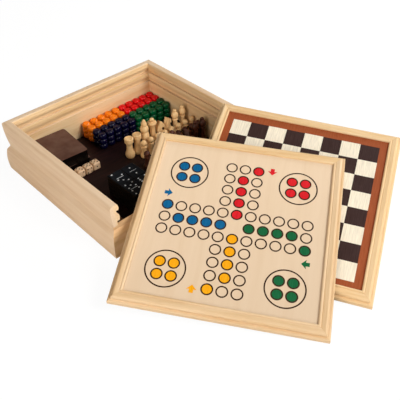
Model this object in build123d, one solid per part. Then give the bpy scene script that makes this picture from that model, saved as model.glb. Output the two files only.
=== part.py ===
from build123d import *
import os
from math import cos, sin, radians, sqrt

os.makedirs("parts", exist_ok=True)

# All sizes in millimetres. Origin on the table under the middle of the box's upper band, +Z up.
# +Y is the closed back of the box; the two lid boards slide out over the low front wall at -Y.

# ---------------------------------------------------------------- fits and clearances
SEAT = 0.1            # piece resting on another piece
SIDE_CLEAR = 0.2      # glued panel to the edge of its rebate
LINING_CLEAR = 0.3    # lining to the walls
GROOVE_CLEAR = 0.8    # board edge to the bottom of its groove
TONGUE_CLEAR = 0.6    # tongue to the height of its groove
RAIL_CLEAR = 0.3      # body of a rail to the beads beside its groove
CORNER_CLEAR = 0.5    # row of pieces to the wall it stands at

# ---------------------------------------------------------------- box
BAND_X = 300.0        # outer width of the upper band, across the grooves
BAND_Y = 290.0        # outer length of the upper band, along the grooves
WALL_H = 91.0         # height of the three full walls
FRONT_FLAT = 2.0      # flat left on its top, at the outer edge
FRONT_BEVEL = 9.5     # height of the bevel on the inner side of its top
WALL_T = 14.0         # band face to the tips of the inner beads
FOOT_OUT = 2.0        # wall foot beyond the band face
SKIRT_OUT = 3.5       # fullest point of the skirt beyond the band face
SKIRT_Z = 20.0
SKIRT_TOP_OUT = 1.2
SKIRT_TOP_Z = 39.0
WAIST_IN = 3.8        # waist behind the band face
WAIST_Z = 46.0
BAND_IN = 1.0         # hollow of the band between the waist and the top
BAND_Z = 66.0
SHOULDER_R = 4.0      # rounding of the outer top edge
TOP_BEAD_H = 10.4     # bead over the upper groove
GROOVE_H = 7.6        # height of each of the two lid grooves
GROOVE_D = 4.8        # their depth behind the bead tips
BEAD_H = 10.4         # height of the bead between the grooves
BEAD_D = 1.0          # roundness of the beads
PANEL_T = 6.0         # bottom panel
REBATE_W = 6.0        # rebate for it in the foot of each wall
LINING_T = 1.0

IN_X = BAND_X / 2 - WALL_T
IN_Y = BAND_Y / 2 - WALL_T
FLOOR_Z = PANEL_T + LINING_T
FRONT_H = WALL_H - TOP_BEAD_H - 2 * GROOVE_H - BEAD_H    # the low front wall ends at the lower groove
FRONT_END = -BAND_Y / 2

# ---------------------------------------------------------------- lid boards
BOARD = 2 * (IN_X + GROOVE_D - GROOVE_CLEAR)    # outer size of each square board
BOARD_T = 13.0        # thickness at the frame
TONGUE_W = GROOVE_D - GROOVE_CLEAR + RAIL_CLEAR
TONGUE_T = GROOVE_H - TONGUE_CLEAR
RAIL_W = 17.0         # width of a rail
LIP_W = 3.8           # lip over the edge of the panel
LIP_FACE = 3.3        # panel face below the top of the frame
BOARD_PANEL_T = 4.0

# resting places of the two boards: heading of the lower edge from its left to its right end,
# and the place on the table of the lower right corner, in board sizes from the front of the box
CHESS_HEADING = -60.4
CHESS_CORNER = (0.10118 * BOARD, FRONT_END - 1.07768 * BOARD)
LUDO_HEADING = -53.66
LUDO_CORNER = (-0.18368 * BOARD, FRONT_END - 1.06304 * BOARD)

# ---------------------------------------------------------------- contents
COUNTER_D = 15.2
COUNTER_H = 9.6
COUNTER_PITCH = 15.55
COUNTER_LAYERS = 3
COUNTER_COLUMNS = 5   # of each colour along the back wall
COUNTER_START = (IN_X - COUNTER_D / 2 - CORNER_CLEAR, IN_Y - COUNTER_D / 2 - CORNER_CLEAR)

CARD_X, CARD_Y = 56.0, 80.0
CARD_R = 4.0
DECK_T = 17.4
DECK_SIDE = 23.5      # cards to the left wall
DECK_BACK = 1.8       # cards to the back wall, for their slight turn
DECK_PLACE = (CARD_X / 2 + DECK_SIDE - IN_X, IN_Y - CARD_Y / 2 - DECK_BACK)
DECK_YAW = -3.8
LOWER_DECK_SHIFT = (1.0, -0.3)

DIE = 14.0
DIE_R = 3.0
DIE_PITCH = 14.7
DIE_TO_DECK = 3.6
DIE_RUN = 79.7        # first die's middle from the left wall
DIE_START = (DIE_RUN - IN_X, DECK_PLACE[1] - CARD_Y / 2 - DIE_TO_DECK - DIE / 2)
DIE_COUNT = 5
DIE_PIP_R = 1.3
DIE_PIP_GRID = 3.4

TILE_X, TILE_Y, TILE_T = 24.0, 34.2, 5.3
TILE_R = 0.8
TILE_PITCH_X, TILE_PITCH_Y = 24.4, 34.6
TILE_LAYERS = 7
TILE_SIDE = 56.0      # dominoes to the left wall
TILE_FRONT = 28.3     # and to the front wall
TILE_START = (TILE_SIDE + TILE_X / 2 - IN_X, TILE_FRONT + TILE_Y / 2 + TILE_PITCH_Y - IN_Y)
TILE_PIP_R = 1.35
TILE_PIP_GRID_X, TILE_PIP_GRID_Y = 6.2, 4.6
TILE_LINE = (12.5, 0.9, 0.4)
PIP_DEPTH = 0.5

MAN_PITCH = 16.7      # chess officers, side to side
PAWN_PITCH = 15.1
ROW_PITCH = 17.4
MAN_SIDE = 13.7       # middle of the last officer to the right wall
PAWN_SIDE = 7.9       # middle of the last pawn to the right wall
MAN_BACK = 107.0      # officers' row from the back wall
MAN_START = (IN_X - MAN_SIDE - 7 * MAN_PITCH, IN_Y - MAN_BACK)
PAWN_START = (IN_X - PAWN_SIDE - 7 * PAWN_PITCH, MAN_START[1] - ROW_PITCH)
STRAY_PAWN = (7.7 - PAWN_START[0], -9.4)     # from its place in the row
ROOK_SHIFT = (3.4 * MAN_PITCH, -ROW_PITCH)   # the dark rooks stand a row further forward

STICK_D = 3.0
STICK_L = 148.0
STICK_TIP = 6.0
STICK_PITCH = 3.35
STICK_ROWS = (10, 9, 8, 4)
STICK_SIDE = 3.0      # sticks to the left wall
STICK_FRONT = 6.0     # foremost tips to the front wall
STICK_STAGGER = 2.5
STICK_START = (STICK_SIDE + STICK_D / 2 - IN_X, STICK_FRONT + STICK_STAGGER + STICK_L - IN_Y)


# ---------------------------------------------------------------- helpers
def outline(start, *steps):
    """Closed face from lines to (a, b) and arcs through ((a, b), (c, d))."""
    edges, here = [], start
    for step in steps + (start,):
        if isinstance(step[0], tuple):
            edges.append(ThreePointArc(here, step[0], step[1]))
            here = step[1]
        elif step != here:
            edges.append(Line(here, step))
            here = step
    return make_face(edges)


def turned(*steps):
    """Solid of revolution about Z; the outline starts on the axis and ends flat on it."""
    return revolve(Plane.XZ * outline((0, 0), *steps), Axis.Z)


def prism(points, height, z=0.0):
    return Pos(0, 0, z) * extrude(make_face(Polyline(*points, close=True)), height)


def save(name, *solids):
    shape = solids[0] if len(solids) == 1 else Compound(children=list(solids))
    shape.label = name
    export_step(shape, f"parts/{name}.step")


# ---------------------------------------------------------------- box
def wall_section():
    """Moulded wall: p outward from the bead tips, z up."""
    t, h, g, b = WALL_T, WALL_H, GROOVE_D, BEAD_D
    low, bead = FRONT_H, FRONT_H + GROOVE_H
    high = bead + BEAD_H
    lip = high + GROOVE_H
    r, s = SHOULDER_R, SHOULDER_R * (1 - sqrt(0.5))
    return outline(
        (REBATE_W, 0),
        (t + FOOT_OUT, 0),
        ((t + SKIRT_OUT, SKIRT_Z), (t + SKIRT_TOP_OUT, SKIRT_TOP_Z)),
        (t - WAIST_IN, WAIST_Z),
        ((t - BAND_IN, BAND_Z), (t, h - r)),
        ((t - s, h - s), (t - r, h)),
        (r, h),
        ((s + 0.4, h - s), (b, h - r + 0.6)),
        ((0, (lip + h - r) / 2), (b, lip)),
        (g, lip), (g, high), (b, high),
        ((0, (bead + high) / 2), (b, bead)),
        (g, bead), (g, low), (0, low),
        (0, PANEL_T), (REBATE_W, PANEL_T))


def wall_bar(half):
    """The moulding run along Y, outward side to +X, mitred at both ends."""
    reach = WALL_T + SKIRT_OUT + 5
    run = Plane(origin=(0, 0, 0), x_dir=(1, 0, 0), z_dir=(0, -1, 0))
    bar = extrude(run * wall_section(), half + reach, both=True)
    mitred = prism([(0, -half), (reach, -half - reach), (reach, half + reach), (0, half)], WALL_H)
    return bar, mitred


def side_wall():
    """Right wall: its upper part runs on to a square end over the low front wall."""
    bar, mitred = wall_bar(IN_Y)
    square_end = prism([(0, -IN_Y), (WALL_T, FRONT_END), (0, FRONT_END)], WALL_H - FRONT_H, FRONT_H)
    return Pos(IN_X, 0, 0) * (bar & (mitred + square_end))


def build_box():
    right = side_wall()
    bar, mitred = wall_bar(IN_X)
    back = bar & mitred
    edge_p = front_edge_p() - FRONT_FLAT
    bevel = outline((edge_p, FRONT_H), (0, FRONT_H - FRONT_BEVEL), (-1, FRONT_H - FRONT_BEVEL),
                    (-1, WALL_H + 1), (edge_p, WALL_H + 1))
    run = Plane(origin=(0, 0, 0), x_dir=(1, 0, 0), z_dir=(0, -1, 0))
    low = back & Pos(0, 0, FRONT_H / 2) * Box(2 * BAND_X, 2 * BAND_X, FRONT_H)
    low -= extrude(run * bevel, BAND_X, both=True)
    save("wall_right", right)
    save("wall_left", mirror(right, about=Plane.YZ))
    save("wall_back", Pos(0, IN_Y, 0) * Rot(0, 0, 90) * back)
    save("wall_front", Pos(0, -IN_Y, 0) * Rot(0, 0, -90) * low)
    edge = REBATE_W - SIDE_CLEAR
    save("bottom_panel", Pos(0, 0, PANEL_T / 2) * Box(2 * (IN_X + edge), 2 * (IN_Y + edge), PANEL_T))
    save("floor_lining", Pos(0, 0, PANEL_T + LINING_T / 2)
         * Box(2 * (IN_X - LINING_CLEAR), 2 * (IN_Y - LINING_CLEAR), LINING_T))


# ---------------------------------------------------------------- lid boards
def rail_section():
    """Moulded rail: w inward from the outer edge, z up from the underside."""
    t, w = BOARD_T, RAIL_W
    face = t - LIP_FACE
    return outline(
        (0, 0),
        (0, TONGUE_T - 1.8), ((0.5, TONGUE_T - 0.5), (1.8, TONGUE_T)),
        (TONGUE_W, TONGUE_T), (TONGUE_W, t - 3.5),
        ((TONGUE_W + 1.1, t - 1.0), (TONGUE_W + 3.7, t)),
        (w - LIP_W - 0.4, t - 0.7), (w - LIP_W, t - 1.2), (w - LIP_W + 0.4, t - 0.8),
        ((w - LIP_W / 2, t - 0.35), (w - 0.4, t - 0.9)),
        (w, t - 1.4), (w, face),
        (w - LIP_W, face), (w - LIP_W, 0))


def board_pieces():
    """Four mitred rails and the panel, underside at z = 0, middle at the origin."""
    half = BOARD / 2
    run = Plane(origin=(0, -half, 0), x_dir=(0, 1, 0), z_dir=(1, 0, 0))
    inner = half - RAIL_W
    mitre = prism([(-half, -half), (half, -half), (inner, -inner), (-inner, -inner)], BOARD_T)
    rail = extrude(run * rail_section(), half, both=True) & mitre
    pieces = {name: Rot(0, 0, turn) * rail
              for name, turn in (("bottom", 0), ("right", 90), ("top", 180), ("left", 270))}
    size = 2 * (inner + LIP_W - SIDE_CLEAR)
    panel = Pos(0, 0, BOARD_T - LIP_FACE - BOARD_PANEL_T / 2) * Box(size, size, BOARD_PANEL_T)
    return pieces, panel


def board_axes(normal, heading):
    """Directions along the lower edge and up the board, for a board with this normal."""
    c, s = cos(radians(heading)), sin(radians(heading))
    along = Vector(c, s, -(normal.X * c + normal.Y * s) / normal.Z).normalized()
    return along, normal.cross(along)


def through(p, q, r):
    normal = (q - p).cross(r - p).normalized()
    return normal if normal.Z > 0 else normal * -1


def point_at(a, b, axis, value):
    """Where the line through a and b has this x (axis 0) or y (axis 1)."""
    start, end = tuple(a)[axis], tuple(b)[axis]
    return a + (b - a) * ((value - start) / (end - start))


def lean(corner, heading, third):
    """A board on three places: the table, the front wall's outer top edge, and a third one."""
    foot = Vector(corner[0], corner[1], SEAT)
    normal = Vector(-0.2, -0.2, 0.96)
    edge_y = -IN_Y - front_edge_p()
    for _ in range(40):
        along, up = board_axes(normal, heading)
        left = foot - along * BOARD
        on_front = point_at(left, left + up * BOARD, 1, edge_y)
        on_front = Vector(on_front.X, on_front.Y, FRONT_H + SEAT)
        normal = through(foot, on_front, third(foot, along, up))
    along, up = board_axes(normal, heading)
    middle = foot + (up - along) * (BOARD / 2)
    return Plane(origin=middle, x_dir=along, z_dir=normal)


def front_edge_p():
    """How far out the front wall's outer top edge is from its inner face."""
    cut = Pos(0, FRONT_H, 0) * Rectangle(4 * BAND_X, 0.02)
    return (wall_section() & cut).bounding_box().max.X


def on_right_wall(foot, along, up):
    """The chessboard's top rail on the flat top of the right wall, near its square end."""
    inset = RAIL_W - LIP_W
    inner_edge = foot + up * (BOARD - inset)
    spot = point_at(inner_edge, inner_edge - along, 0, IN_X + WALL_T - SHOULDER_R)
    return Vector(spot.X, spot.Y, WALL_H + SEAT)


def on_chess_panel(chess):
    """The ludo board's top right corner on the face of the chessboard's panel."""
    face = chess.origin + chess.z_dir * (BOARD_T - LIP_FACE + SEAT)

    def third(foot, along, up):
        tip, n = foot + up * BOARD, chess.z_dir
        z = face.Z - (n.X * (tip.X - face.X) + n.Y * (tip.Y - face.Y)) / n.Z
        return Vector(tip.X, tip.Y, z)
    return third


def build_boards():
    chess = lean(CHESS_CORNER, CHESS_HEADING, on_right_wall)
    ludo = lean(LUDO_CORNER, LUDO_HEADING, on_chess_panel(chess))
    rails, panel = board_pieces()
    for board, plane in (("chess", chess), ("ludo", ludo)):
        place = Location(plane)
        for name, rail in rails.items():
            save(f"{board}_rail_{name}", place * rail)
        save(f"{board}_panel", place * panel)


# ---------------------------------------------------------------- counters, cards
def build_counters():
    r, h = COUNTER_D / 2, COUNTER_H
    counter = turned(
        (0, 0.2), (r * 0.46, 0.45), ((r * 0.6, 0), (r * 0.78, 0.45)),
        ((r, h / 2), (r * 0.78, h - 0.45)), ((r * 0.6, h), (r * 0.46, h - 0.45)),
        (r * 0.2, h - 0.15), (0, h - 0.15))
    x0, y0 = COUNTER_START
    groups = (("red", 0, 0), ("yellow", 1, 0), ("green", 0, 1), ("blue", 1, 1))
    for colour, column, row in groups:
        places = [(x0 - COUNTER_PITCH * (i + COUNTER_COLUMNS * column),
                   y0 - COUNTER_PITCH * (j + 2 * row),
                   FLOOR_Z + SEAT + layer * (h + SEAT))
                  for i in range(COUNTER_COLUMNS) for j in range(2) for layer in range(COUNTER_LAYERS)]
        save(f"{colour}_counters", *[Pos(*place) * counter for place in places])


def build_decks():
    deck = extrude(RectangleRounded(CARD_X, CARD_Y, CARD_R), DECK_T)
    x, y = DECK_PLACE
    dx, dy = LOWER_DECK_SHIFT
    save("deck_lower", Pos(x + dx, y + dy, FLOOR_Z + SEAT) * deck)
    save("deck_upper", Pos(x, y, FLOOR_Z + DECK_T + 2 * SEAT) * Rot(0, 0, DECK_YAW) * deck)


# ---------------------------------------------------------------- dice and dominoes
def pip_spots(count):
    """Places of the pips on a three by three grid."""
    spots = [(0, 0)] if count % 2 else []
    if count > 1:
        spots += [(-1, 1), (1, -1)]
    if count > 3:
        spots += [(-1, -1), (1, 1)]
    if count > 5:
        spots += [(-1, 0), (1, 0)]
    return spots


def pip_ball(radius):
    """Ball that cuts a dimple of this radius and PIP_DEPTH deep, and its height over the face."""
    ball = (radius ** 2 + PIP_DEPTH ** 2) / (2 * PIP_DEPTH)
    return Sphere(ball), ball - PIP_DEPTH


def build_dice():
    cube = Box(DIE, DIE, DIE)
    cube = fillet(cube.edges(), DIE_R)
    ball, over = pip_ball(DIE_PIP_R)
    faces = ((1, Rot(0, 0, 0)), (6, Rot(180, 0, 0)), (2, Rot(90, 0, 0)),
             (5, Rot(-90, 0, 0)), (3, Rot(0, 90, 0)), (4, Rot(0, -90, 0)))
    for count, turn in faces:
        for a, b in pip_spots(count):
            cube -= turn * Pos(a * DIE_PIP_GRID, b * DIE_PIP_GRID, DIE / 2 + over) * ball
    x, y = DIE_START
    turns = (Rot(90, 0, 0), Rot(0, 90, 90), Rot(0, -90, 0), Rot(180, 0, 90), Rot(-90, 0, 0))
    save("dice", *[Pos(x - DIE_PITCH * i, y - 0.3 * (i % 2), FLOOR_Z + SEAT + DIE / 2) * turns[i] * cube
                   for i in range(DIE_COUNT)])


def tile(first, second):
    """One domino, its two ends showing first (towards +Y) and second."""
    body = Box(TILE_X, TILE_Y, TILE_T, align=(Align.CENTER, Align.CENTER, Align.MIN))
    body = fillet(body.edges(), TILE_R)
    width, across, deep = TILE_LINE
    body -= Pos(0, 0, TILE_T - deep / 2) * Box(width, across, deep)
    ball, over = pip_ball(TILE_PIP_R)
    for count, end in ((first, 1), (second, -1)):
        for a, b in pip_spots(count):
            body -= Pos(a * TILE_PIP_GRID_X, end * TILE_Y / 4 + b * TILE_PIP_GRID_Y, TILE_T + over) * ball
    return body


def build_dominoes():
    shown = [(2, 3), (5, 4), (1, 1), (6, 2)]
    pairs = [(a, b) for a in range(7) for b in range(a + 1)]
    hidden = [pair for pair in pairs if pair not in shown and pair[::-1] not in shown]
    x, y = TILE_START
    spots = [(x + TILE_PITCH_X * i, y - TILE_PITCH_Y * j) for i in range(2) for j in range(2)]
    lower = [Pos(px, py, FLOOR_Z + SEAT + layer * (TILE_T + SEAT)) * tile(*hidden.pop())
             for layer in range(TILE_LAYERS - 1) for px, py in spots]
    top = [Pos(px, py, FLOOR_Z + SEAT + (TILE_LAYERS - 1) * (TILE_T + SEAT)) * tile(*shown[i])
           for i, (px, py) in enumerate(spots)]
    save("dominoes_lower", *lower)
    save("dominoes_top", *top)


# ---------------------------------------------------------------- chessmen
def pawn():
    return turned((6.5, 0), ((7.3, 2.4), (6.7, 5.0)), ((4.6, 9.5), (3.6, 16.0)), (3.4, 19.2),
                  (5.2, 19.8), (5.2, 20.9), (3.2, 21.6), (3.2, 22.6), ((5.2, 26.7), (0.6, 31.87)), (0, 31.87))


def rook():
    return turned((7.2, 0), ((8.2, 4.5), (7.4, 9.0)), ((5.7, 14.0), (5.0, 20.5)),
                  ((5.4, 25.0), (7.3, 29.0)), (7.6, 36.2), (6.8, 37.0), (5.4, 37.0), (5.2, 35.9), (0, 35.9))


def bishop():
    return turned((7.2, 0), ((8.0, 3.2), (7.3, 6.4)), ((5.2, 10.5), (4.3, 16.0)), (3.8, 27.0),
                  (5.6, 28.0), (5.6, 29.4), (3.6, 30.4), ((6.1, 36.8), (3.2, 43.4)), (2.4, 43.9),
                  ((3.3, 46.0), (0.5, 48.3)), (0, 48.3))


def queen():
    return turned((7.4, 0), ((8.2, 3.4), (7.4, 6.8)), ((5.6, 10.0), (5.0, 14.0)), ((4.9, 24.0), (4.8, 33.0)),
                  ((5.8, 38.0), (7.9, 43.0)), ((8.0, 44.8), (7.2, 46.0)), (3.0, 46.6), (2.4, 47.0),
                  ((3.9, 49.8), (0.6, 53.2)), (0, 53.2))


def king():
    return turned((7.4, 0), ((8.2, 3.4), (7.4, 6.8)), ((5.6, 10.0), (5.2, 14.0)), (6.8, 19.6),
                  ((7.5, 26.0), (6.3, 32.6)), (5.3, 33.6), ((7.2, 39.2), (5.6, 45.0)), (4.6, 45.8),
                  ((5.0, 49.2), (3.4, 53.4)), ((2.2, 56.4), (0.6, 58.0)), (0, 58.0))


def knight():
    """Turned blank with the horse's head sawn out of it."""
    foot = turned((7.4, 0), ((8.2, 3.4), (7.4, 6.8)), ((5.8, 9.8), (5.2, 13.0)), (0, 13.0))
    blank = turned((5.2, 0), (5.2, 13.0), ((7.6, 19.0), (7.9, 27.0)), ((7.2, 34.0), (4.2, 41.0)), (0, 41.0))
    head = outline((-5.2, 12.0), ((-7.4, 24.0), (-3.4, 36.0)), (-1.6, 40.6), (0.4, 37.0),
                   ((4.2, 35.6), (7.4, 31.4)), (7.6, 28.4), (5.4, 26.8), ((2.6, 28.2), (1.6, 25.0)),
                   ((4.6, 19.0), (5.2, 12.0)))
    head = extrude(Plane.XZ * head, 4.2, both=True)
    return foot + (blank & head)


def build_chessmen():
    officers = (("rooks", rook), ("rooks", rook), ("king", king), ("queen", queen),
                ("knights", knight), ("knights", knight), ("bishops", bishop), ("bishops", bishop))
    level = FLOOR_Z + SEAT
    for side, rows in (("natural", 0), ("dark", 3)):
        groups = {}
        for i, (kind, shape) in enumerate(officers):
            x, y = MAN_START[0] + MAN_PITCH * i, MAN_START[1] - ROW_PITCH * rows
            if side == "dark" and kind == "rooks":
                x, y = x + ROOK_SHIFT[0], y + ROOK_SHIFT[1]
            groups.setdefault(kind, []).append(Pos(x, y, level) * Rot(0, 0, 200 + 37 * i) * shape())
        x, y = PAWN_START[0], PAWN_START[1] - ROW_PITCH * (rows // 3)
        pawns = [(x + PAWN_PITCH * i, y) for i in range(8)]
        if side == "dark":
            pawns[0] = (x + STRAY_PAWN[0], y + STRAY_PAWN[1])
        groups["pawns"] = [Pos(px, py, level) * pawn() for px, py in pawns]
        for kind, men in groups.items():
            save(f"{side}_{kind}", *men)


# ---------------------------------------------------------------- pick-up sticks
def build_sticks():
    r, tip = STICK_D / 2, STICK_TIP
    stick = turned((0.4, 0), (r, tip), (r, STICK_L - tip), (0.4, STICK_L), (0, STICK_L))
    x0, y0 = STICK_START
    rise = STICK_PITCH * sqrt(3) / 2
    sticks = []
    for layer, count in enumerate(STICK_ROWS):
        for i in range(count):
            x = x0 + STICK_PITCH * (i + layer / 2)
            z = FLOOR_Z + SEAT + r + layer * rise
            back = y0 - STICK_STAGGER * ((i * 5 + layer * 3) % 4) / 3
            sticks.append(Pos(x, back, z) * Rot(90, 0, 0) * stick)
    save("mikado_sticks", *sticks)


build_box()
build_boards()
build_counters()
build_decks()
build_dice()
build_dominoes()
build_chessmen()
build_sticks()
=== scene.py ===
from math import cos, pi, radians, sin

import bmesh
import bpy
from mathutils import Euler, Matrix, Vector

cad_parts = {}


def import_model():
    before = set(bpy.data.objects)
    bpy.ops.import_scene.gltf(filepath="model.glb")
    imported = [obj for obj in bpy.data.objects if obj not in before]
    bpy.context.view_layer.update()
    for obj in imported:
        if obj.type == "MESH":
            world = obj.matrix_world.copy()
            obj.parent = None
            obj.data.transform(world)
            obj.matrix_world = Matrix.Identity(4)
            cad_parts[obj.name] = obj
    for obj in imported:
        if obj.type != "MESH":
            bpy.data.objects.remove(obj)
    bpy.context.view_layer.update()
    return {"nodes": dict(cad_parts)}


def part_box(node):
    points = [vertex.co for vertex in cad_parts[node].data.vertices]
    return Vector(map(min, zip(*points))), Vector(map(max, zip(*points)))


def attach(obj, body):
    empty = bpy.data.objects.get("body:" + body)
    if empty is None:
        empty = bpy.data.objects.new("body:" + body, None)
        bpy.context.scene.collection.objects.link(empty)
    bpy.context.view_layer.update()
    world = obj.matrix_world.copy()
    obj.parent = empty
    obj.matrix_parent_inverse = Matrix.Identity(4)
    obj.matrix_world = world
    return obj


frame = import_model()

NODES = frame["nodes"]
X, Y, Z = Vector((1, 0, 0)), Vector((0, 1, 0)), Vector((0, 0, 1))
MM = 0.001
INK = 0.04 * MM        # printed ink over the face it is printed on


# ---------------------------------------------------------------- colours and shader trees
def srgb(r, g, b):
    """Linear colour of an 8-bit display colour."""
    def linear(c):
        c /= 255
        return c / 12.92 if c <= 0.04045 else ((c + 0.055) / 1.055) ** 2.4
    return (linear(r), linear(g), linear(b), 1.0)


def toned(colour, gain, lift=0.0):
    """The colour made lighter or darker by a factor."""
    return tuple(min(1.0, gain * c + lift) for c in colour[:3]) + (1.0,)


class Tree:
    """A node material around one Principled shader."""

    MIX_A, MIX_B, MIX_RESULT = 6, 7, 2      # the mix node's sockets for colours
    BUMP_DEPTH = 0.2 * MM

    def __init__(self, name):
        self.material = bpy.data.materials.new(name)
        self.material.use_nodes = True
        self.nodes = self.material.node_tree.nodes
        self.links = self.material.node_tree.links
        self.shader = self.nodes["Principled BSDF"]
        self.place = self.node("ShaderNodeTexCoord").outputs["Object"]

    def node(self, kind, **settings):
        made = self.nodes.new(kind)
        for key, value in settings.items():
            setattr(made, key, value)
        return made

    def put(self, socket, value):
        if isinstance(value, bpy.types.NodeSocket):
            self.links.new(value, socket)
        elif value is not None:
            socket.default_value = value

    def math(self, operation, a, b=None, clamp=False):
        made = self.node("ShaderNodeMath", operation=operation, use_clamp=clamp)
        self.put(made.inputs[0], a)
        self.put(made.inputs[1], b)
        return made.outputs[0]

    def plus(self, a, b):
        return self.math("ADD", a, b)

    def minus(self, a, b):
        return self.math("SUBTRACT", a, b)

    def times(self, a, b):
        return self.math("MULTIPLY", a, b)

    def size(self, a):
        return self.math("ABSOLUTE", a)

    def above(self, a, limit):
        return self.math("GREATER_THAN", a, limit)

    def dot(self, vector, direction):
        made = self.node("ShaderNodeVectorMath", operation="DOT_PRODUCT")
        self.put(made.inputs[0], vector)
        made.inputs[1].default_value = direction
        return made.outputs["Value"]

    def along(self, direction, origin=(0, 0, 0)):
        """Distance in metres from origin along this direction."""
        return self.minus(self.dot(self.place, direction), Vector(direction).dot(Vector(origin)))

    def facing(self, direction):
        """How squarely the surface looks along this direction, 0 to 1, either way round."""
        return self.size(self.dot(self.node("ShaderNodeTexCoord").outputs["Normal"], direction))

    def vector(self, x, y, z):
        made = self.node("ShaderNodeCombineXYZ")
        for socket, value in zip(made.inputs, (x, y, z)):
            self.put(socket, value)
        return made.outputs[0]

    def noise(self, place, scale, detail=3.0, roughness=0.55):
        made = self.node("ShaderNodeTexNoise")
        self.put(made.inputs["Vector"], place)
        made.inputs["Scale"].default_value = scale
        made.inputs["Detail"].default_value = detail
        made.inputs["Roughness"].default_value = roughness
        return made.outputs["Fac"]

    def ramp(self, factor, *stops):
        made = self.node("ShaderNodeValToRGB")
        self.put(made.inputs[0], factor)
        elements = made.color_ramp.elements
        while len(elements) < len(stops):
            elements.new(1.0)
        for element, (at, colour) in zip(elements, stops):
            element.position, element.color = at, colour
        return made.outputs[0]

    def mix(self, factor, a, b, blend="MIX"):
        made = self.node("ShaderNodeMix", data_type="RGBA", blend_type=blend)
        self.put(made.inputs[0], factor)
        self.put(made.inputs[self.MIX_A], a)
        self.put(made.inputs[self.MIX_B], b)
        return made.outputs[self.MIX_RESULT]

    def tinted(self, colour, tint):
        return self.mix(1.0, colour, tint, "MULTIPLY")

    def bump(self, height, strength):
        made = self.node("ShaderNodeBump")
        made.inputs["Strength"].default_value = strength
        made.inputs["Distance"].default_value = self.BUMP_DEPTH
        self.put(made.inputs["Height"], height)
        self.put(self.shader.inputs["Normal"], made.outputs[0])

    def finish(self, colour, roughness, specular):
        self.put(self.shader.inputs["Base Color"], colour)
        self.put(self.shader.inputs["Roughness"], roughness)
        self.shader.inputs["Specular IOR Level"].default_value = specular
        return self.material


# ---------------------------------------------------------------- objects
def placed(name, data):
    obj = bpy.data.objects.new(name, data)
    bpy.context.scene.collection.objects.link(obj)
    return obj


def dress(material, slot, *objects):
    for obj in objects:
        obj.data.materials.clear()
        obj.data.materials.append(material)


def new_piece(name, mesh, material, slot, body):
    """Turn a finished bmesh into a dressed piece that moves with this body."""
    data = bpy.data.meshes.new(name)
    mesh.to_mesh(data)
    mesh.free()
    obj = placed(name, data)
    dress(material, slot, obj)
    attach(obj, body)


# ---------------------------------------------------------------- wood
PINE = (srgb(240, 214, 178), srgb(231, 199, 155), srgb(212, 171, 118))
# darker, warmer pine: painted shade for the front wall, which lies in the ludo board's shadow
PINE_PAINTED_SHADE = (srgb(232, 192, 146), srgb(220, 176, 124), srgb(196, 148, 94))
RAILS = (srgb(241, 213, 172), srgb(231, 198, 150), srgb(213, 170, 114))
# a little darker and greyer than the other rail tones
DARKER_RAILS = (srgb(232, 205, 168), srgb(222, 190, 148), srgb(204, 164, 112))
PLYWOOD = (srgb(230, 207, 176), srgb(226, 200, 166), srgb(218, 187, 150))
PALE_VENEER = (srgb(237, 212, 182), srgb(232, 206, 174), srgb(226, 197, 162))
NATURAL = (srgb(242, 208, 156), srgb(225, 184, 128), srgb(190, 140, 88))
DARK = (srgb(118, 62, 36), srgb(78, 38, 22), srgb(42, 20, 12))
DICE_WOOD = (srgb(238, 208, 172), srgb(222, 186, 148), srgb(196, 154, 114))
# darker brown stick wood: painted shade for the sticks lying in the shade inside the box
STICK_WOOD_PAINTED_SHADE = (srgb(132, 92, 62), srgb(108, 72, 46), srgb(82, 52, 34))

DRIFT_ALONG, DRIFT_ACROSS = 9.0, 26.0     # how fast the grain wanders, along it and across
BEND = 0.012                              # how far it wanders, in metres
GRAIN_STRETCH, GRAIN_DEPTH = 0.055, 0.9   # pattern along the grain and into the piece
BAND_SCALE, STREAK_SCALE, FIBRE_SCALE = 95.0, 330.0, 900.0
BAND_SHARE, STREAK_SHARE, FIBRE_SHARE = 0.6, 0.2, 0.2
TONE_SPREAD = 0.2                         # noise on each side of the middle that reaches the end tones
SEAM_HALF, SEAM_SHARE = 0.22 * MM, 0.55
PAINTED_LIGHT_SKIN = 5 * MM                        # painted light: over which the warmer inner wood turns into the paled outside
# painted light: the pale tone and its share on the walls' tops and outsides
PAINTED_LIGHT_TONE, PAINTED_LIGHT_SHARE = srgb(226, 204, 190), 0.3
# painted shade: warm tint on the inner faces of the walls
PAINTED_SHADE_INSIDE_TINT = (1.0, 0.99, 0.95, 1.0)
PAINTED_SHADE_RATE, PAINTED_SHADE_MIDDLE = 3.2, 0.4       # painted shade: share per metre, and at the middle of the board
# painted shade: the darkening tint
PAINTED_SHADE_TINT = (0.84, 0.84, 0.84, 1.0)


def grain_place(t, a, b, c, seed):
    """Point in the wood, stretched along the grain and bent a little across it."""
    drift = t.noise(t.vector(t.times(a, DRIFT_ALONG), t.times(b, DRIFT_ACROSS),
                             t.plus(t.times(c, DRIFT_ACROSS), seed)), 1.0, 2.0)
    return t.vector(t.times(a, GRAIN_STRETCH), t.plus(b, t.times(drift, BEND)),
                    t.plus(t.times(c, GRAIN_DEPTH), seed))


def with_seam(t, colour, dark, right, up, middle):
    """Fine dark line at the mitres of a square frame around this middle."""
    off = t.minus(t.size(t.along(right, middle)), t.size(t.along(up, middle)))
    seam = t.math("LESS_THAN", t.size(off), SEAM_HALF)
    return t.mix(t.times(seam, SEAM_SHARE), colour, dark)


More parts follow.
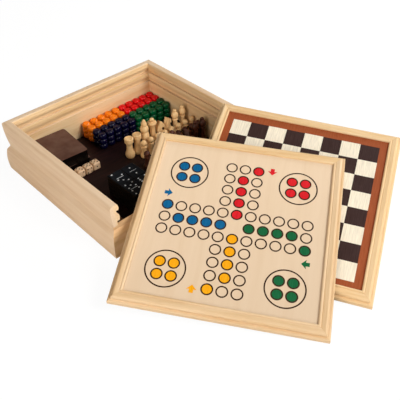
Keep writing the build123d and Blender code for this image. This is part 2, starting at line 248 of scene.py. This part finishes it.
def with_painted_light(t, colour, c, start, way):
    """Painted light: paler wood on the tops and the outside, from this far out along c on one side; the
    rest gets a warm painted-shade tint.
    """
    side = t.math("MULTIPLY", t.minus(t.times(c, way), start), 1 / PAINTED_LIGHT_SKIN, clamp=True)
    # the up-facing faces get the painted light too
    side = t.math("MAXIMUM", side, t.above(t.facing(Z), 0.8))
    return t.mix(side, t.tinted(colour, PAINTED_SHADE_INSIDE_TINT), t.mix(PAINTED_LIGHT_SHARE, colour, PAINTED_LIGHT_TONE))


def with_painted_shade(t, colour, direction, origin):
    """Painted shade: wood that gets slowly darker this way."""
    far = t.math("ADD", t.times(t.along(direction, origin), PAINTED_SHADE_RATE), PAINTED_SHADE_MIDDLE, clamp=True)
    return t.mix(far, colour, t.tinted(colour, PAINTED_SHADE_TINT))


def wood(name, tones, grain, across, out, origin=(0, 0, 0), seed=0.0, end_grain=True,
         fineness=1.0, contrast=1.0, mitre=None, painted_light_from=None, painted_shade_way=None):
    """Planed wood with its grain along one direction; across and out complete the piece's frame."""
    light, mid, dark = tones
    t = Tree(name)
    a, b, c = (t.along(direction, origin) for direction in (grain, across, out))
    place = grain_place(t, a, b, c, seed)
    bands = t.noise(place, BAND_SCALE * fineness, 3.0, 0.5)
    streaks = t.noise(place, STREAK_SCALE * fineness, 2.0, 0.6)
    fibres = t.noise(place, FIBRE_SCALE * fineness, 4.0, 0.7)
    tone = t.plus(t.times(bands, BAND_SHARE), t.times(streaks, STREAK_SHARE))
    tone = t.plus(tone, t.times(fibres, FIBRE_SHARE))
    spread = TONE_SPREAD / contrast
    colour = t.ramp(tone, (0.5 - spread, light), (0.5, mid), (0.5 + spread, dark))
    if end_grain:
        rings = t.noise(t.vector(b, c, seed), 420.0, 3.0)
        end = t.ramp(rings, (0.35, light), (0.65, mid))
        colour = t.mix(t.above(t.facing(grain), 0.9), colour, end)
    if mitre:
        colour = with_seam(t, colour, dark, *mitre)
    # painted light on the tops and the outside, painted shade on the rest
    if painted_light_from:
        colour = with_painted_light(t, colour, c, *painted_light_from)
    # painted shade, darker one way across the piece
    if painted_shade_way:
        colour = with_painted_shade(t, colour, painted_shade_way, origin)
    t.bump(fibres, 0.12)
    return t.finish(colour, t.plus(t.times(fibres, 0.18), 0.42), specular=0.35)


def turned_wood(name, tones, seed):
    """Wood with fine grain up the piece."""
    return wood(name, tones, Z, X, Y, seed=seed, fineness=2.2, end_grain=False)


# ---------------------------------------------------------------- box
def lining():
    """Dark stained floor with a faint grain under a thin varnish."""
    t = Tree("dark_lining")
    streaks = t.noise(t.vector(t.times(t.along(X), 0.1), t.along(Y), 0.0), 260.0)
    colour = t.ramp(streaks, (0.35, srgb(20, 8, 10)), (0.65, srgb(42, 19, 18)))
    return t.finish(colour, t.plus(t.times(streaks, 0.1), 0.4), specular=0.2)


def dress_box():
    low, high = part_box("floor_lining")
    for i, (side, grain, out, inner, way) in enumerate(
            (("left", Y, X, -low[0], -1), ("right", Y, X, high[0], 1), ("back", X, Y, high[1], 1))):
        # painted light on the three walls' tops and outsides, painted shade inside
        pine = wood(f"pine_{side}", PINE, grain, Z, out, seed=3.1 * i, painted_light_from=(inner + PAINTED_LIGHT_SKIN, way))
        dress(pine, "box_pine", NODES[f"wall_{side}"])
    # the front wall gets the darker pine as painted shade
    dress(wood("pine_front", PINE_PAINTED_SHADE, X, Z, Y, seed=3.1 * 3), "box_pine", NODES["wall_front"])
    dress(wood("bottom_plywood", PLYWOOD, X, Y, Z, seed=17.0), "bottom_wood", NODES["bottom_panel"])
    dress(lining(), "dark_lining", NODES["floor_lining"])


# ---------------------------------------------------------------- lid boards
def board_frame(board):
    """The board's own frame (right, up the board, out of it), at the middle of its panel's face."""
    mesh = NODES[f"{board}_panel"].data
    out = max((p.normal for p in mesh.polygons), key=lambda n: n.z).copy()
    top = max(v.co.dot(out) for v in mesh.vertices)
    corners = {tuple(round(c, 5) for c in v.co) for v in mesh.vertices if v.co.dot(out) > top - 1e-5}
    low_right, low_left, _, up_left = sorted(map(Vector, corners), key=lambda c: c.z)
    right = (low_right - low_left).normalized()
    turn = Matrix((right, out.cross(right), out)).transposed().to_4x4()
    return Matrix.Translation((low_right + up_left) / 2) @ turn


def dress_boards():
    for k, board in enumerate(("ludo", "chess")):
        place = board_frame(board)
        right, up, out = (place.col[i].xyz for i in range(3))
        middle = place.translation
        for i, side in enumerate(("top", "bottom", "left", "right")):
            grain, across = (right, up) if side in ("top", "bottom") else (up, right)
            # the ludo board's bottom, left and right rails are a little darker than its top rail
            tones = DARKER_RAILS if board == "ludo" and side != "top" else RAILS
            rail = wood(f"{board}_pine_{side}", tones, grain, across, out, middle,
                        seed=5.3 * i + 29 * k, mitre=(right, up, middle))
            dress(rail, f"{board}_frame", NODES[f"{board}_rail_{side}"])
        # painted shade darkens the ludo veneer towards its lower right
        veneer = wood(f"{board}_veneer", PALE_VENEER, up, right, out, middle, seed=50 + 7 * k,
                      fineness=0.8, contrast=0.6, end_grain=False,
                      painted_shade_way=0.4 * right - up if board == "ludo" else None)
        dress(veneer, f"{board}_print", NODES[f"{board}_panel"])


class Print:
    """Flat printed shapes on a board's face, in millimetres from the middle of the panel."""

    def __init__(self, board, name, place, shift=(0, 0), layer=1):
        self.mesh = bmesh.new()
        self.board, self.name, self.place, self.shift = board, name, place, shift
        self.height = layer * INK

    def point(self, x, y):
        local = Vector(((x + self.shift[0]) * MM, (y + self.shift[1]) * MM, self.height))
        return self.mesh.verts.new(self.place @ local)

    def circle(self, x, y, r, sides):
        turns = [2 * pi * i / sides for i in range(sides)]
        return [self.point(x + r * cos(turn), y + r * sin(turn)) for turn in turns]

    def shape(self, points):
        self.mesh.faces.new([self.point(x, y) for x, y in points])

    def square(self, x, y, side):
        h = side / 2
        self.shape([(x - h, y - h), (x + h, y - h), (x + h, y + h), (x - h, y + h)])

    def disc(self, x, y, r):
        self.mesh.faces.new(self.circle(x, y, r, 40))

    def ring(self, x, y, r, width, sides=64):
        inner, outer = self.circle(x, y, r - width, sides), self.circle(x, y, r, sides)
        for i in range(sides):
            j = (i + 1) % sides
            self.mesh.faces.new([inner[i], outer[i], outer[j], inner[j]])

    def done(self, colour_name, colour):
        material = ink(f"ink_{colour_name}", colour, self.place)
        new_piece(self.name, self.mesh, material, f"{self.board}_print", f"{self.board}_board")


def ink(name, colour, place):
    """Printed colour that lets a little of the grain below through."""
    t = Tree(name)
    right, up = place.col[0].xyz, place.col[1].xyz
    grain = t.noise(t.vector(t.times(t.along(up), 0.06), t.along(right), 0.0), 700.0, 4.0, 0.65)
    t.bump(grain, 0.06)
    shades = t.ramp(grain, (0.3, toned(colour, 0.82)), (0.7, toned(colour, 1.12, 0.01)))
    return t.finish(shades, 0.42, specular=0.12)


LUDO_SHIFT = (0.4, -5.3)     # the layout lies a little low on its panel
LUDO_PITCH = 19.3
LUDO_CIRCLE_R = 8.2
LUDO_LINE = 1.9
LUDO_FILL_GAP = 0.1          # fill inside the outer edge of its line
LUDO_BASE = 77.6             # middle of each round base, right and up
LUDO_BASE_R = 27.2
LUDO_BASE_CELL = 9.4         # its four circles from its middle
LUDO_ARROW = ((-5.6, -2.8), (-0.4, -2.8), (-1.0, -6.8), (5.9, 0), (-1.0, 6.8), (-0.4, 2.8), (-5.6, 2.8))
LUDO_ARROW_BACK = 3.0        # arrows sit a little behind their cell
LUDO_INK = srgb(50, 24, 6)
LUDO_ARMS = (("blue", srgb(0, 96, 146), (1, 0)), ("red", srgb(214, 26, 36), (0, -1)),
             ("green", srgb(14, 98, 56), (-1, 0)), ("yellow", srgb(244, 166, 10), (0, 1)))


def turned(x, y, turn):
    """Point of blue's arm, which points left, turned to another arm of the cross."""
    c, s = turn
    return (c * x - s * y, s * x + c * y)


def print_ludo():
    place = board_frame("ludo")
    lines = Print("ludo", "ludo_outlines", place, LUDO_SHIFT, layer=2)
    for i in range(-5, 6):
        for j in range(-5, 6):
            if min(abs(i), abs(j)) <= 1 and (i, j) != (0, 0):
                lines.ring(i * LUDO_PITCH, j * LUDO_PITCH, LUDO_CIRCLE_R, LUDO_LINE)
    for name, colour, turn in LUDO_ARMS:
        fill = Print("ludo", f"ludo_{name}", place, LUDO_SHIFT)
        for i, j in [(-k, 0) for k in range(1, 5)] + [(-5, 1)]:
            x, y = turned(i, j, turn)
            fill.disc(x * LUDO_PITCH, y * LUDO_PITCH, LUDO_CIRCLE_R - LUDO_FILL_GAP)
        print_base(fill, lines, *turned(-LUDO_BASE, LUDO_BASE, turn))
        print_arrow(fill, *turned(-5, 2, turn), turn)
        fill.done(name, colour)
    lines.done("outline", LUDO_INK)


def print_base(fill, lines, x, y):
    """Round base with four filled circles."""
    lines.ring(x, y, LUDO_BASE_R, LUDO_LINE, 96)
    for dx in (-LUDO_BASE_CELL, LUDO_BASE_CELL):
        for dy in (-LUDO_BASE_CELL, LUDO_BASE_CELL):
            fill.disc(x + dx, y + dy, LUDO_CIRCLE_R - LUDO_FILL_GAP)
            lines.ring(x + dx, y + dy, LUDO_CIRCLE_R, LUDO_LINE)


def print_arrow(fill, i, j, turn):
    """Stubby arrow in the cell beside a start circle."""
    points = [turned(x - LUDO_ARROW_BACK, y, turn) for x, y in LUDO_ARROW]
    fill.shape([(i * LUDO_PITCH + x, j * LUDO_PITCH + y) for x, y in points])


CHESS_SHIFT = (-0.35, -1.8)
CHESS_SQUARE = 27.95
CHESS_BORDER = 246.0         # outer side of the brown border
CHESS_BORDER_INK = srgb(157, 80, 44)
CHESS_INKS = (("light", srgb(240, 230, 208)), ("dark", srgb(57, 38, 35)))


def print_chess():
    place = board_frame("chess")
    border = Print("chess", "chess_border", place)
    border.square(0, 0, CHESS_BORDER)
    border.done("border", CHESS_BORDER_INK)
    for parity, (name, colour) in enumerate(CHESS_INKS):
        squares = Print("chess", f"chess_{name}_squares", place, CHESS_SHIFT, layer=2)
        for i in range(8):
            for j in range(8):
                if (i + j + 1) % 2 == parity:
                    squares.square((i - 3.5) * CHESS_SQUARE, (j - 3.5) * CHESS_SQUARE, CHESS_SQUARE)
        squares.done(name, colour)


# ---------------------------------------------------------------- contents
LACQUERS = {"yellow": srgb(240, 122, 10), "red": srgb(220, 10, 16),
            "blue": srgb(5, 5, 38), "green": srgb(0, 78, 40)}
CARD_T = 0.32 * MM
PIP_REACH = 0.6 * MM         # hollows end this far under their face
FACE_TOL = 0.004 * MM        # nearer than this to the face is the face itself


def lacquer(name, colour):
    """Turned wood under a coat of coloured lacquer, a little uneven over the end grain."""
    t = Tree(name)
    cloud = t.noise(t.place, 160.0, 2.0)
    ridges = t.noise(t.vector(t.along(X), t.along(Y), t.times(t.along(Z), 0.2)), 900.0, 3.0)
    t.bump(ridges, 0.1)
    return t.finish(t.ramp(cloud, (0.3, toned(colour, 0.72)), (0.6, colour)), 0.17, specular=0.2)


def card_stack():
    """Brown glossy card backs under a soft painted sheen; the cut edges show as fine dark layers."""
    t = Tree("card_backs")
    layers = t.math("FRACT", t.times(t.along(Z), 1 / CARD_T))
    edge = t.ramp(layers, (0.0, srgb(3, 2, 2)), (0.5, srgb(10, 5, 4)), (1.0, srgb(4, 2, 2)))
    # painted sheen: soft lighter and darker patches across the backs
    painted_sheen = t.noise(t.place, 60.0, 2.0)
    back = t.ramp(painted_sheen, (0.3, srgb(88, 60, 50)), (0.7, srgb(104, 76, 64)))
    return t.finish(t.mix(t.above(t.facing(Z), 0.5), edge, back), 0.26, specular=0.1)


def black_tile():
    """Black dominoes, with their top faces painted a little greyer than their sides as a painted sheen.
    """
    t = Tree("domino_black")
    cloud = t.noise(t.place, 240.0, 3.0)
    side = t.ramp(cloud, (0.3, srgb(3, 3, 4)), (0.7, srgb(9, 8, 9)))
    # painted sheen on the top faces
    face = t.ramp(cloud, (0.3, srgb(16, 19, 23)), (0.7, srgb(28, 31, 36)))
    return t.finish(t.mix(t.above(t.facing(Z), 0.9), side, face), 0.36, specular=0.12)


def paint(name, colour):
    """Thin paint in the pips."""
    t = Tree(name)
    cloud = t.noise(t.place, 500.0, 2.0)
    return t.finish(t.ramp(cloud, (0.3, toned(colour, 0.8)), (0.7, colour)), 0.45, specular=0.4)


def loose_pieces(mesh):
    """A node's mesh, and its separate solids as lists of faces."""
    made = bmesh.new()
    made.from_mesh(mesh)
    bmesh.ops.remove_doubles(made, verts=made.verts, dist=1e-7)
    made.faces.ensure_lookup_table()
    seen, pieces = set(), []
    for face in made.faces:
        if face in seen:
            continue
        seen.add(face)
        stack, piece = [face], []
        while stack:
            here = stack.pop()
            piece.append(here)
            for other in (other for edge in here.edges for other in edge.link_faces):
                if other not in seen:
                    seen.add(other)
                    stack.append(other)
        pieces.append(piece)
    return made, pieces


def is_hollow(face, middle, half, margin, axes):
    """Whether this face lies in a hollow cut along one of these axes, and isn't an edge's rounding."""
    at = face.calc_center_median() - middle
    for k in axes:
        inside = [half[m] - abs(at[m]) > margin or face.normal[m] * at[m] < -1e-7
                  for m in range(3) if m != k]
        if FACE_TOL < half[k] - abs(at[k]) < PIP_REACH and all(inside):
            return True
    return False


def painted_pips(node, name, body, material, slot, margin, axes=(0, 1, 2)):
    """Paint in the hollows cut into the flat faces of each solid of a node."""
    source, pieces = loose_pieces(NODES[node].data)
    made = bmesh.new()
    for piece in pieces:
        spots = [v.co for face in piece for v in face.verts]
        low = Vector([min(p[k] for p in spots) for k in range(3)])
        high = Vector([max(p[k] for p in spots) for k in range(3)])
        for face in piece:
            if is_hollow(face, (low + high) / 2, (high - low) / 2, margin, axes):
                made.faces.new([made.verts.new(v.co + v.normal * INK / 2) for v in face.verts])
    source.free()
    new_piece(name, made, material, slot, body)


def dress_contents():
    for colour, tone in LACQUERS.items():
        slot = f"{colour}_lacquer"
        dress(lacquer(slot, tone), slot, NODES[f"{colour}_counters"])
    for side, tones in (("natural", NATURAL), ("dark", DARK)):
        for i, kind in enumerate(("king", "queen", "bishops", "knights", "rooks", "pawns")):
            dress(turned_wood(f"{side}_{kind}_wood", tones, 2.7 * i), f"{side}_wood",
                  NODES[f"{side}_{kind}"])
    dress(card_stack(), "card_backs", NODES["deck_upper"], NODES["deck_lower"])
    dress(turned_wood("dice_wood", DICE_WOOD, 9.0), "dice_wood", NODES["dice"])
    dress(black_tile(), "domino_black", NODES["dominoes_lower"], NODES["dominoes_top"])
    # the sticks get the darkened wood as painted shade
    sticks = wood("stick_wood", STICK_WOOD_PAINTED_SHADE, Y, X, Z, seed=4.0, fineness=2.0, end_grain=False)
    dress(sticks, "stick_wood", NODES["mikado_sticks"])
    painted_pips("dice", "dice_pips", "dice_set", paint("pip_dark", srgb(40, 26, 20)),
                 "dice_wood", 3.0 * MM)
    painted_pips("dominoes_top", "domino_pips", "domino_set", paint("pip_white", srgb(236, 240, 242)),
                 "domino_black", 1.2 * MM, axes=(2,))


# ---------------------------------------------------------------- studio
FLOOR_HALF, FLOOR_BELOW = 4.0, 0.0002     # metres; just under the object, so that nothing coincides
FLOOR_GLOW, FLOOR_GLOW_SHARE = 1.04, 0.9  # white to the camera, with a share left for the shadows
LAMP_TARGET = (0, -0.15, 0.03)
LAMPS = (("key", (0.9, -3.0, 2.4), 1.6, 104, (1, 1, 1)),
         ("side", (1.8, -0.3, 1.2), 1.2, 27, (1, 1, 1)),
         ("fill", (-1.7, -0.7, 0.8), 1.2, 21, (1.0, 0.92, 0.84)))


def camera():
    data = bpy.data.cameras.new("camera")
    data.sensor_width = 36.0
    data.lens = 57.08
    data.shift_x, data.shift_y = -0.01, -0.075
    data.clip_end = 20.0
    obj = placed("camera", data)
    obj.location = (-0.4775, -0.7, 0.6381)
    obj.rotation_euler = Euler((radians(52.329), radians(1.308), radians(-42.819)))
    bpy.context.scene.camera = obj


def floor_white():
    """Matte white floor that looks white to the camera and keeps the object's shadow."""
    material = bpy.data.materials.new("floor_white")
    material.use_nodes = True
    nodes, links = material.node_tree.nodes, material.node_tree.links
    nodes.clear()
    seen = nodes.new("ShaderNodeLightPath").outputs["Is Camera Ray"]
    share = nodes.new("ShaderNodeMath")
    share.operation = "MULTIPLY"
    share.inputs[1].default_value = FLOOR_GLOW_SHARE
    matte = nodes.new("ShaderNodeBsdfDiffuse")
    matte.inputs["Color"].default_value = (0.86, 0.86, 0.86, 1)
    glow = nodes.new("ShaderNodeEmission")
    glow.inputs["Color"].default_value = (1, 1, 1, 1)
    glow.inputs["Strength"].default_value = FLOOR_GLOW
    both = nodes.new("ShaderNodeMixShader")
    out = nodes.new("ShaderNodeOutputMaterial")
    links.new(seen, share.inputs[0])
    for source, socket in zip((share, matte, glow), both.inputs):
        links.new(source.outputs[0], socket)
    links.new(both.outputs[0], out.inputs[0])
    return material


def floor():
    h = FLOOR_HALF
    data = bpy.data.meshes.new("floor")
    data.from_pydata([(-h, -h, 0), (h, -h, 0), (h, h, 0), (-h, h, 0)], [], [(0, 1, 2, 3)])
    data.materials.append(floor_white())
    obj = placed("floor", data)
    obj.location.z = -FLOOR_BELOW


def lamps():
    for name, place, size, power, colour in LAMPS:
        data = bpy.data.lights.new(name, "AREA")
        data.shape, data.size, data.energy, data.color = "DISK", size, power, colour
        obj = placed(name, data)
        obj.location = place
        obj.rotation_euler = (Vector(LAMP_TARGET) - Vector(place)).to_track_quat("-Z", "Y").to_euler()


def world():
    """White behind the object, and faint warm light on it."""
    made = bpy.data.worlds.new("studio")
    bpy.context.scene.world = made
    made.use_nodes = True
    nodes, links = made.node_tree.nodes, made.node_tree.links
    soft = nodes["Background"]
    soft.inputs["Color"].default_value = (1.0, 0.93, 0.84, 1)
    soft.inputs["Strength"].default_value = 0.08
    white = nodes.new("ShaderNodeBackground")
    white.inputs["Color"].default_value = (1, 1, 1, 1)
    white.inputs["Strength"].default_value = 1.0
    both = nodes.new("ShaderNodeMixShader")
    seen = nodes.new("ShaderNodeLightPath").outputs["Is Camera Ray"]
    for source, socket in zip((seen, soft.outputs[0], white.outputs[0]), both.inputs):
        links.new(source, socket)
    links.new(both.outputs[0], nodes["World Output"].inputs[0])


dress_box()
dress_boards()
print_ludo()
print_chess()
dress_contents()
camera()
floor()
lamps()
world()
bpy.context.scene.view_settings.view_transform = "Standard"
